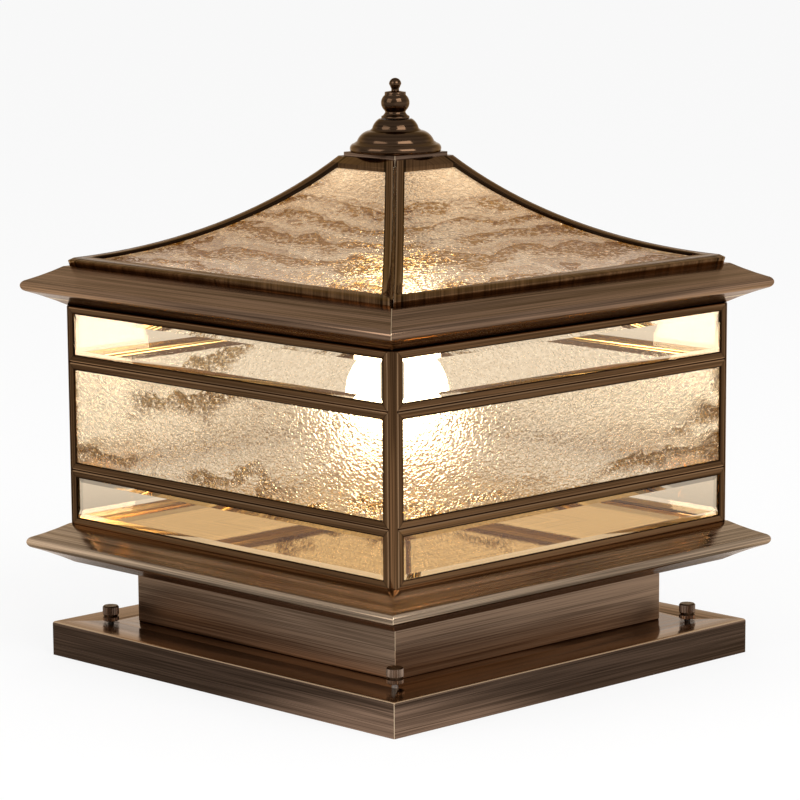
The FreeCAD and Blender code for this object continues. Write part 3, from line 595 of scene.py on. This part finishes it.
# A painted glint runs round the upper eave's soffit, and a painted highlight runs round the pan's top edge.
soffit_line = along_folds_with_line(234.9*MM, edge_line_width)
pan_edge_line = along_folds_with_line(22.0*MM, edge_line_width)
folded_bronze = metal(
    "folded_bronze", soffit_line, fold_tones, 0.20, 5*MICRON, painted_seam_highlight,
    highlight_colour=(0.98, 0.82, 0.52), highlight_share=1.0,
)
pan_bronze = metal(
    "pan_bronze", pan_edge_line, pan_tones, 0.22, 6*MICRON, painted_seam_highlight,
    highlight_colour=(0.85, 0.60, 0.38), highlight_share=0.9,
)
pan_top_bronze = metal("pan_top_bronze", along_folds, fold_tones, 0.16, 2*MICRON)
neck_bronze = metal("neck_bronze", along_folds, neck_tones, 0.34, 6*MICRON, painted_seam_highlight)
lit_bronze = metal("lit_bronze", along_folds, lamplit_tones, 0.20, 4*MICRON, painted_seam_highlight)
upright_bronze = metal("upright_bronze", along_uprights, frame_tones, 0.14, 2*MICRON)
roof_frame_bronze = metal("roof_frame_bronze", along_hips, frame_tones, 0.14, 2*MICRON)
turned_bronze = metal("turned_bronze", round_the_axis, turned_tones, 0.12, 2*MICRON)
print("darkened bronzes made")

# %% Bare brass, zinc and nickel
warm_edge = (1, 0.95, 0.85)
grey_edge = (1, 1, 1)
floor_tones = (0.70, 0.45, 0.13), (0.90, 0.63, 0.24)
bare_tones = (0.72, 0.51, 0.24), (0.93, 0.74, 0.42)
zinc_tones = (0.38, 0.39, 0.41), (0.60, 0.61, 0.62)
nickel_tones = (0.52, 0.51, 0.47), (0.75, 0.73, 0.69)
floor_brass = metal("floor_brass", along_folds, floor_tones, 0.03, 0.6*MICRON, edge_tint=warm_edge)
bare_brass = metal("bare_brass", along_folds, bare_tones, 0.26, 3*MICRON, edge_tint=warm_edge)
zinc_steel = metal("zinc_steel", along_folds, zinc_tones, 0.35, 4*MICRON, edge_tint=grey_edge)
cap_nickel = metal("cap_nickel", round_the_axis, nickel_tones, 0.25, 4*MICRON, edge_tint=grey_edge)
print("bare metals made")

# %% [markdown]
# ## Glass
#
# The top and bottom tiers hold clear bevelled glass, and the middle tier and the roof hold hammered glass:
# sheet that was rolled while soft between a smooth roll and a rough one. That leaves folds that overlap like
# scales, and a fine wrinkle all over. One group makes this wave. A noise bends a level line up and down, and
# the fraction of the bent height is darkest just under each fold and fades downward, as the thick edge of a
# fold does. It bends the light through a bump, and also moves the tint, because thick glass is browner.

# %% Clear glass
glass_ior = 1.5
clear_tint = (0.96, 0.90, 0.82)
haze_scale, haze_detail = 35.0, 3.0
haze_range = 0.50, 0.75
haze_roughness = 0.05
drawn_scale = 60.0
drawn_relief = 20*MICRON


def glass(name, tint, roughness):
    """A clear glass shader and the tree it lies in."""
    material, tree, output = new_material(name)
    inputs = {"Base Color": tint, "Roughness": roughness, "IOR": glass_ior, "Transmission Weight": 1.0}
    shader = fed_node(tree, "ShaderNodeBsdfPrincipled", inputs)
    link(tree, shader.outputs[0], output.inputs["Surface"])
    return material, tree, shader


clear_glass, clear_tree, clear_shader = glass("clear_glass", clear_tint, 0.0)
clear_place = object_place(clear_tree)
cloud = noise_of(clear_tree, clear_place, haze_scale, haze_detail)
link(clear_tree, ramp(clear_tree, cloud, *haze_range, 0.0, haze_roughness), clear_shader.inputs["Roughness"])
drawn_wave = noise_of(clear_tree, clear_place, drawn_scale)
link(clear_tree, bumped(clear_tree, drawn_wave, drawn_relief), clear_shader.inputs["Normal"])
print("clear glass with a faint haze")

# %% The folds of rolled glass
# Scales are in waves to the metre. The bent level is counted in folds, so the swell moves it by a few folds.
swell_scale, swell_detail, swell_twist = 22.0, 5.0, 0.4
swell_of_levels = 3.2
patch_scale, patch_detail, patch_edge = 17.0, 1.0, 0.18
shade_range = 0.30, 0.98
ridge_range = 0.90, 0.97
ridge_share = 0.7
shade_share = 0.75
wave_group, wave_in, wave_out = new_group(
    "rolled_wave",
    [
        ("Place", "NodeSocketVector", None), ("Rise", "NodeSocketFloat", 0.0),
        ("Ridges", "NodeSocketFloat", 0.5), ("Calm", "NodeSocketFloat", 0.4),
    ],
    ["Height", "Depth"],
)
wave_place = wave_in.outputs["Place"]
calm = wave_in.outputs["Calm"]
swell = noise_of(wave_group, wave_place, swell_scale, swell_detail, swell_twist)
bent_level = math_node(
    wave_group, "ADD", wave_in.outputs["Rise"], math_node(wave_group, "MULTIPLY", swell, swell_of_levels),
)
below_ridge = math_node(wave_group, "FRACT", bent_level)
folded = noise_of(wave_group, wave_place, patch_scale, patch_detail)
patches = ramp(wave_group, folded, calm, math_node(wave_group, "ADD", calm, patch_edge))
shade = math_node(wave_group, "MULTIPLY", ramp(wave_group, below_ridge, *shade_range), patches)
ridge = math_node(wave_group, "MULTIPLY", ramp(wave_group, below_ridge, *ridge_range), patches)
shaded = math_node(wave_group, "MULTIPLY", shade, shade_share)
ridges = math_node(wave_group, "MULTIPLY_ADD", ridge, ridge_share, shaded)
print("folds with", len(wave_group.nodes), "nodes")

# %% The wrinkles, and the height and depth of the wave
wrinkle_scale, wrinkle_detail, wrinkle_twist = 430.0, 1.0, 0.6
wrinkle_range = 0.40, 0.60
wrinkle_in_folds = 1.6
wrinkle_elsewhere = 0.30
swell_height = 2.0
shade_height = 0.3
least_depth = 0.10
wrinkle = noise_of(wave_group, wave_place, wrinkle_scale, wrinkle_detail, wrinkle_twist)
crisp = math_node(wave_group, "SUBTRACT", ramp(wave_group, wrinkle, *wrinkle_range), 0.5)
liveliness = math_node(wave_group, "MULTIPLY_ADD", shade, wrinkle_in_folds, wrinkle_elsewhere)
wrinkled = math_node(wave_group, "MULTIPLY", crisp, liveliness)
swollen = math_node(wave_group, "ADD", math_node(wave_group, "MULTIPLY", swell, swell_height), wrinkled)
height = math_node(wave_group, "ADD", swollen, math_node(wave_group, "MULTIPLY", shade, shade_height))
ridge_depth = math_node(wave_group, "MULTIPLY", ridges, wave_in.outputs["Ridges"])
uneven_depth = math_node(wave_group, "ADD", ridge_depth, wrinkled)
depth = math_node(wave_group, "ADD", uneven_depth, least_depth, clamp=True)
link(wave_group, height, wave_out.inputs["Height"])
link(wave_group, depth, wave_out.inputs["Depth"])
print("rolled wave with", len(wave_group.nodes), "nodes")

# %% Hammered glass
# The colour of a painted glow in the hammered glass, which stands in for lamplight scattered in it.
lamplight = (1.0, 0.70, 0.42)
calm_range = 0.24, 0.60
hammered_roughness = 0.02
hammered_relief = 0.4*MM


def hammered_glass(name, thin, deep, scales, folds, ridges, calm_rise, glow):
    """Rolled glass: tinted more where its folds are thick, with a painted warm glow that stands in for
    scattered lamplight.
    """
    material, tree, shader = glass(name, thin, hammered_roughness)
    along, outward, up = side_axes(tree)
    wave = fed_node(tree, "ShaderNodeGroup", {}, node_tree=wave_group)
    for label, item in (
        ("Ridges", ridges), ("Calm", ramp(tree, up, *calm_rise, *calm_range)),
        ("Rise", math_node(tree, "MULTIPLY", up, folds)),
        ("Place", stretched(tree, *zip((along, outward, up), scales))),
    ):
        feed(tree, item, wave.inputs[label])
    # The painted glow is weaker where the folds are thick.
    dim_light = tuple(part*share for part, share in zip(lamplight, deep))
    for label, item in (
        ("Base Color", blended(tree, wave.outputs["Depth"], thin, deep)),
        ("Emission Color", blended(tree, wave.outputs["Depth"], lamplight, dim_light)),
        ("Emission Strength", glow), ("Normal", bumped(tree, wave.outputs["Height"], hammered_relief)),
    ):
        feed(tree, item, shader.inputs[label])
    return material


side_hammered = hammered_glass(
    "side_hammered_glass", thin=(1.0, 0.96, 0.88), deep=(0.43, 0.27, 0.09), scales=(0.8, 1.0, 1.3),
    folds=45, ridges=0.75, calm_rise=(122*MM, 158*MM), glow=0.05,
)
roof_hammered = hammered_glass(
    "roof_hammered_glass", thin=(1.0, 0.93, 0.82), deep=(0.30, 0.15, 0.02), scales=(0.6, 1.3, 1.3),
    folds=105, ridges=1.6, calm_rise=(285*MM, 310*MM), glow=0.12,
)
print("hammered glass for the sides and the roof")

# %% [markdown]
# ## Rubber, plastic, ceramic and the lit bulb
#
# The small pieces under the pan and inside the roof are moulded or glazed. Each has a slight mottle in its
# colour and a fine texture in its surface. The bulb is frosted, and gives its own warm light.

# %% Small surfaces
mottle_scale, mottle_detail = 300.0, 3.0
mottled = 0.92, 1.08
mottled_gloss = 0.85, 1.15
mottle_relief = 20*MICRON
bulb_light = (1.0, 0.80, 0.52)
bulb_strength = 13.0


def plain_surface(name, colour, roughness):
    """A moulded or glazed surface with a slight mottle in its colour and a fine texture."""
    material, tree, output = new_material(name)
    speckle = noise_of(tree, object_place(tree), mottle_scale, mottle_detail)
    darker, lighter = (tuple(min(1.0, part*share) for part in colour) for share in mottled)
    gloss = between(tree, speckle, *(roughness*share for share in mottled_gloss))
    shader = fed_node(tree, "ShaderNodeBsdfPrincipled", {
        "Base Color": blended(tree, speckle, darker, lighter),
        "Roughness": gloss,
        "Normal": bumped(tree, speckle, mottle_relief),
    })
    link(tree, shader.outputs[0], output.inputs["Surface"])
    return material, shader


black_rubber, _ = plain_surface("black_rubber", (0.02, 0.02, 0.02), 0.6)
white_plastic, _ = plain_surface("white_plastic", (0.75, 0.74, 0.70), 0.45)
brown_ceramic, _ = plain_surface("brown_ceramic", (0.10, 0.055, 0.03), 0.15)
frosted_bulb, bulb_shader = plain_surface("frosted_bulb", (0.9, 0.86, 0.78), 0.4)
bulb_shader.inputs["Emission Color"].default_value = (*bulb_light, 1)
bulb_shader.inputs["Emission Strength"].default_value = bulb_strength
print("rubber, plastic, ceramic and a bulb of strength", bulb_strength)

# %% [markdown]
# ## Sheet metal with soft edges and a bare inside
#
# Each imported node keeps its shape. Sheet metal has no razor edges, so each metal node is copied, its loose
# triangles are merged into clean faces, and a narrow bevel rounds its edges: that is what catches the light
# along every fold. The faces that look inward are given bare brass, because only the outside was darkened.

# %% Which faces take the second finish
upward_share = 0.95
inward_share = -0.5


def faces_up(face):
    """Whether a face looks straight up."""
    return face.normal.z > upward_share


def faces_inward(face):
    """Whether a face looks toward the lantern's axis."""
    centre = face.calc_center_median()
    if abs(centre.x) > abs(centre.y):
        return face.normal.x*math.copysign(1, centre.x) < inward_share
    return face.normal.y*math.copysign(1, centre.y) < inward_share


print("second finishes: straight up and inward")

# %% Copies with softened edges
merge_distance = 0.005*MM
flat_angle = math.radians(0.5)
crease_angle = math.radians(32)
bevel_segments = 2
bodies = frame["record"]["behaviour"]["bodies"]
body_of = {node: body for body, members in bodies.items() for node in members}


def softened(node, material, bevel, second=None, chosen=faces_inward):
    """A copy of a node with merged faces and rounded edges, and a second finish on its chosen faces."""
    mesh = nodes[node].data.copy()
    form = bmesh.new()
    form.from_mesh(mesh)
    bmesh.ops.remove_doubles(form, verts=form.verts, dist=merge_distance)
    bmesh.ops.dissolve_limit(form, angle_limit=flat_angle, verts=form.verts, edges=form.edges)
    mesh.materials.clear()
    mesh.materials.append(material)
    if second is not None:
        mesh.materials.append(second)
    for face in form.faces:
        face.smooth = True
        face.material_index = int(second is not None and chosen(face))
    form.to_mesh(mesh)
    form.free()
    piece = bpy.data.objects.new(f"{node}_finished", mesh)
    bpy.context.scene.collection.objects.link(piece)
    rounding = piece.modifiers.new("edge_rounding", "BEVEL")
    rounding.width = bevel
    rounding.segments = bevel_segments
    rounding.limit_method = "ANGLE"
    rounding.angle_limit = crease_angle
    rounding.harden_normals = True
    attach(piece, body_of[node])
    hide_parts(node)


fold_bevel = 0.45*MM
softened("base_pan", pan_bronze, fold_bevel, pan_top_bronze, faces_up)
softened("neck_box", neck_bronze, fold_bevel)
softened("lower_eave", lit_bronze, fold_bevel)
softened("upper_eave", folded_bronze, fold_bevel, bare_brass)
print("softened pan, neck and eaves")

# %% Frames, posts, ribs and turned pieces
frame_bevel = 0.25*MM
dark_seam = (0.02, 0.012, 0.008)
softened("crown_plate", pan_bronze, frame_bevel)
for tier in TIERS:
    low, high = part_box(f"{tier}_frame_front")
    bars = along_frame(low.z, high.z)
    tier_bronze = metal(f"{tier}_frame_bronze", bars, frame_tones, 0.14, 2*MICRON, dark_seam)
    for side in SIDES:
        softened(f"{tier}_frame_{side}", tier_bronze, frame_bevel, bare_brass)
for side in SIDES:
    softened(f"roof_frame_{side}", roof_frame_bronze, frame_bevel)
for node in nodes:
    if node.startswith("corner_post"):
        softened(node, upright_bronze, frame_bevel, bare_brass)
    elif node.startswith("hip_rib"):
        softened(node, upright_bronze, frame_bevel)
for node in ("bell_cap", "finial"):
    softened(node, turned_bronze, frame_bevel)
print("softened crown, frames, posts, ribs, bell and finial")

# %% [markdown]
# ## Knurled thumb nuts
#
# The nuts that hold the pan are turned in two bands with a groove between them, and knurled so that fingers
# grip them. The turned core is a profile swept round in mesh code. The ribs of a knurl repeat, so Geometry
# Nodes set one small rib on every point of a circle. The same tree serves both bands with other sizes.

# %% The knurl tree
knurl_inputs = (
    ("Nut", "NodeSocketGeometry"), ("Ribs", "NodeSocketInt"), ("Ring Radius", "NodeSocketFloat"),
    ("Rib Radius", "NodeSocketFloat"), ("Foot", "NodeSocketFloat"), ("Height", "NodeSocketFloat"),
    ("Finish", "NodeSocketMaterial"),
)
rib_corners = 4


def knurl_tree():
    """A geometry tree that adds a ring of upright ribs to a nut, and its sockets' identifiers."""
    tree = bpy.data.node_groups.new("knurled_band", "GeometryNodeTree")
    sockets = {}
    for label, kind in knurl_inputs:
        sockets[label] = tree.interface.new_socket(label, in_out="INPUT", socket_type=kind).identifier
    tree.interface.new_socket("Knurled Nut", in_out="OUTPUT", socket_type="NodeSocketGeometry")
    given = tree.nodes.new("NodeGroupInput").outputs
    ring = fed_node(tree, "GeometryNodeMeshCircle", {
        "Vertices": given["Ribs"], "Radius": given["Ring Radius"],
    })
    rib = fed_node(tree, "GeometryNodeMeshCylinder", {
        "Vertices": rib_corners, "Radius": given["Rib Radius"], "Depth": given["Height"],
    })
    index = tree.nodes.new("GeometryNodeInputIndex").outputs[0]
    turn = math_node(tree, "DIVIDE", math_node(tree, "MULTIPLY", index, math.tau), given["Ribs"])
    ribs = fed_node(tree, "GeometryNodeInstanceOnPoints", {
        "Points": ring.outputs["Mesh"],
        "Instance": rib.outputs["Mesh"],
        "Rotation": fed_node(tree, "ShaderNodeCombineXYZ", {"Z": turn}).outputs[0],
    })
    middle = math_node(tree, "ADD", given["Foot"], math_node(tree, "MULTIPLY", given["Height"], 0.5))
    raised = fed_node(tree, "GeometryNodeTransform", {
        "Geometry": ribs.outputs[0],
        "Translation": fed_node(tree, "ShaderNodeCombineXYZ", {"Z": middle}).outputs[0],
    })
    whole = tree.nodes.new("GeometryNodeJoinGeometry")
    for part in (raised.outputs[0], given["Nut"]):
        link(tree, part, whole.inputs[0])
    real = fed_node(tree, "GeometryNodeRealizeInstances", {0: whole.outputs[0]})
    finish = fed_node(tree, "GeometryNodeSetMaterial", {
        "Geometry": real.outputs[0], "Material": given["Finish"],
    })
    fed_node(tree, "NodeGroupOutput", {0: finish.outputs[0]})
    return tree, sockets


knurl, knurl_sockets = knurl_tree()
print("knurl tree with", len(knurl.nodes), "nodes")

# %% The turned core
core_steps = 48


def turned_mesh(name, profile):
    """A closed mesh from a profile of radius and height pairs, which starts and ends on the axis."""
    form = bmesh.new()
    rings = []
    for radius, level_up in profile:
        if radius == 0:
            rings.append([form.verts.new((0, 0, level_up))]*core_steps)
            continue
        turns = [math.tau*step/core_steps for step in range(core_steps)]
        points = [(radius*math.cos(turn), radius*math.sin(turn), level_up) for turn in turns]
        rings.append([form.verts.new(point) for point in points])
    for lower, upper in zip(rings, rings[1:]):
        for step in range(core_steps):
            after = (step + 1) % core_steps
            corners = [lower[step], lower[after], upper[after], upper[step]]
            form.faces.new(list(dict.fromkeys(corners)))
    bmesh.ops.recalc_face_normals(form, faces=form.faces)
    mesh = bpy.data.meshes.new(name)
    form.to_mesh(mesh)
    form.free()
    return mesh


core_radius = 4.95*MM
groove_radius = 4.4*MM
lower_band = 2.8*MM
upper_foot = 3.7*MM
nut_height = 10.0*MM
bore_radius = 2.05*MM
bore_depth = 8.6*MM
soft = 0.4*MM
core_profile = [
    (0, bore_depth), (bore_radius, bore_depth), (bore_radius, 0),
    (core_radius - soft, 0), (core_radius, soft), (core_radius, lower_band),
    (groove_radius, lower_band), (groove_radius, upper_foot), (core_radius, upper_foot),
    (core_radius, nut_height - soft), (core_radius - soft, nut_height), (0, nut_height),
]
print("nut core", core_radius*2, "m wide and", nut_height, "m tall")

# %% A knurled nut in each corner
nut_radius = 5.3*MM
rib_radius = 0.42*MM
rib_count = 30
knurl_foot_share = 0.12
nut_tones = (0.22, 0.145, 0.10), (0.50, 0.36, 0.27)
nut_core_tones = (0.03, 0.017, 0.01), (0.10, 0.06, 0.035)
nut_bronze = metal("nut_bronze", along_uprights, nut_tones, 0.25, 1*MICRON)
nut_core_bronze = metal("nut_core_bronze", along_uprights, nut_core_tones, 0.30, 1*MICRON)


def knurled_nut(node):
    """A knurled nut in the place of a plain one. Its dark core shows between the bright ribs."""
    nut = bpy.data.objects.new(f"{node}_knurled", turned_mesh(f"{node}_core", core_profile))
    bpy.context.scene.collection.objects.link(nut)
    for label, foot, tall in (("lower", 0, lower_band), ("upper", upper_foot, nut_height - upper_foot)):
        band = nut.modifiers.new(f"{label}_knurl", "NODES")
        band.node_group = knurl
        margin = tall*knurl_foot_share
        for name, setting in (
            ("Ribs", rib_count), ("Ring Radius", nut_radius - rib_radius), ("Rib Radius", rib_radius),
            ("Foot", foot + margin), ("Height", tall - 2*margin), ("Finish", nut_bronze),
        ):
            band[knurl_sockets[name]] = setting
    finished = bpy.data.meshes.new_from_object(nut.evaluated_get(bpy.context.evaluated_depsgraph_get()))
    nut.modifiers.clear()
    nut.data = finished
    finished.materials.clear()
    finished.materials.append(nut_bronze)
    finished.materials.append(nut_core_bronze)
    for face in finished.polygons:
        face.material_index = int(math.hypot(face.center.x, face.center.y) < core_radius)
    low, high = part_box(node)
    finished.transform(Matrix.Translation(((low.x + high.x)/2, (low.y + high.y)/2, low.z)))
    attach(nut, body_of[node])
    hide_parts(node)
    return nut


nuts = [knurled_nut(node) for node in sorted(nodes) if node.startswith("thumb_nut")]
print(len(nuts), "knurled nuts with", rib_count, "ribs a band,", len(nuts[0].data.polygons), "faces each")

# %% [markdown]
# ## Panes and inner pieces
#
# The panes, the floor plate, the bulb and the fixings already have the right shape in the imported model, so
# they only take their finish.


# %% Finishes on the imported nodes
def finish_node(node, material):
    """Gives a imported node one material."""
    nodes[node].data.materials.clear()
    nodes[node].data.materials.append(material)


for tier, material in zip((*TIERS, "roof"), (clear_glass, side_hammered, clear_glass, roof_hammered)):
    for side in SIDES:
        finish_node(f"{tier}_pane_{side}", material)
for node, material in (
    ("floor_plate", floor_brass), ("mounting_plate", zinc_steel), ("mounting_studs", zinc_steel),
    ("centre_rod", zinc_steel), ("cable_grommet", black_rubber), ("terminal_block", white_plastic),
    ("lampholder", brown_ceramic), ("bulb_cap", cap_nickel), ("bulb_globe", frosted_bulb),
):
    finish_node(node, material)
print("all nodes finished")

# %% View transform
bpy.context.scene.view_settings.view_transform = "Standard"
